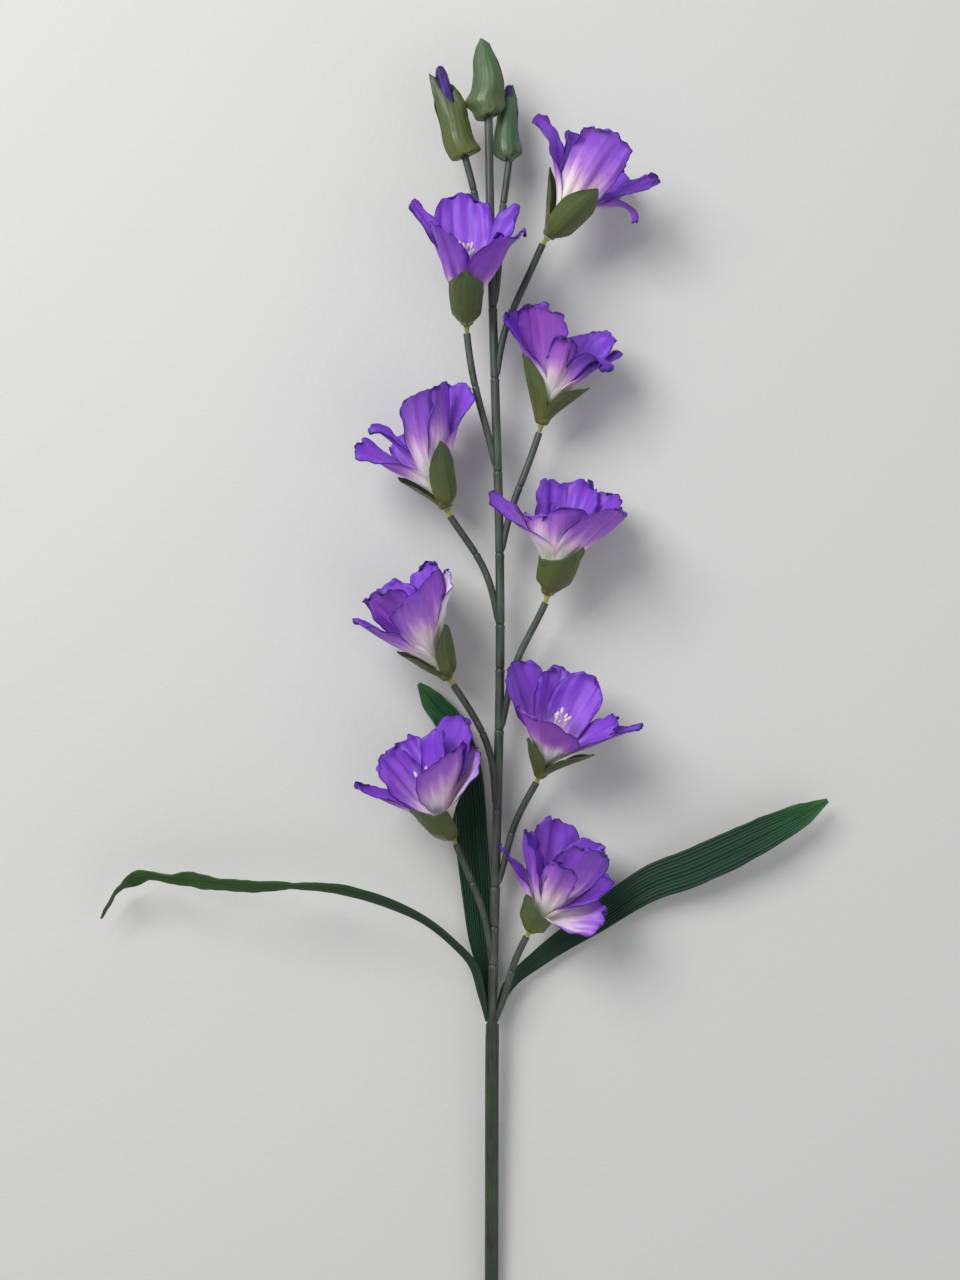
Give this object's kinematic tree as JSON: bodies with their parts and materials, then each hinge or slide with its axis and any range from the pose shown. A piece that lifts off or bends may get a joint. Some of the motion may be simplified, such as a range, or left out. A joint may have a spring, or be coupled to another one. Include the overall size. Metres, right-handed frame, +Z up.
{
  "type": "artificial gladiolus stem",
  "caption": "Artificial gladiolus spike lying on a table: jointed green stem, long folded leaves, ruffled violet and white fabric flowers on side branches and green buds at the tip.",
  "frame": {"origin": "on the table under the middle of the stem's outline", "axes": "+Y along the stem from its cut end to the top bud, +X to the right side of the spike as it is looked at, +Z up from the table"},
  "size_m": [0.5164, 0.9506, 0.103],
  "materials": {
    "petal_fabric": "printed violet fabric, fading to cream white at the throat, with a dark purple rim",
    "bract_plastic": "satin olive green moulded plastic",
    "stalk_plastic": "matte grey-green plastic coating",
    "stem_plastic": "satin mid green plastic coating",
    "leaf_fabric": "dark green pleated fabric with a slight sheen",
    "peg_plastic": "yellow-green moulded plastic",
    "stamen_plastic": "cream white moulded plastic"
  },
  "bodies": {
    "root": {"lower_stem": "stem_plastic", "upper_stalk": "stalk_plastic", "leaf_left": "leaf_fabric", "leaf_middle": "leaf_fabric", "leaf_right": "leaf_fabric", "branch_L1": "stalk_plastic", "petals_L1": "petal_fabric", "calyx_L1": "bract_plastic", "peg_L1": "peg_plastic", "stamens_L1": "stamen_plastic", "branch_R1": "stalk_plastic", "petals_R1": "petal_fabric", "calyx_R1": "bract_plastic", "peg_R1": "peg_plastic", "stamens_R1": "stamen_plastic", "branch_R2": "stalk_plastic", "petals_R2": "petal_fabric", "calyx_R2": "bract_plastic", "peg_R2": "peg_plastic", "stamens_R2": "stamen_plastic", "branch_L2": "stalk_plastic", "petals_L2": "petal_fabric", "calyx_L2": "bract_plastic", "peg_L2": "peg_plastic", "stamens_L2": "stamen_plastic", "branch_R3": "stalk_plastic", "petals_R3": "petal_fabric", "calyx_R3": "bract_plastic", "peg_R3": "peg_plastic", "stamens_R3": "stamen_plastic", "branch_L3": "stalk_plastic", "petals_L3": "petal_fabric", "calyx_L3": "bract_plastic", "peg_L3": "peg_plastic", "stamens_L3": "stamen_plastic", "branch_R4": "stalk_plastic", "petals_R4": "petal_fabric", "calyx_R4": "bract_plastic", "peg_R4": "peg_plastic", "stamens_R4": "stamen_plastic", "branch_L4": "stalk_plastic", "petals_L4": "petal_fabric", "calyx_L4": "bract_plastic", "peg_L4": "peg_plastic", "stamens_L4": "stamen_plastic", "branch_R5": "stalk_plastic", "petals_R5": "petal_fabric", "calyx_R5": "bract_plastic", "peg_R5": "peg_plastic", "stamens_R5": "stamen_plastic", "branch_bud_left": "stalk_plastic", "branch_bud_right": "stalk_plastic", "spathe_left": "bract_plastic", "spathe_top": "bract_plastic", "spathe_right": "bract_plastic", "bud_petal_left": "petal_fabric", "bud_petal_right": "petal_fabric"}
  },
  "joints": []
}
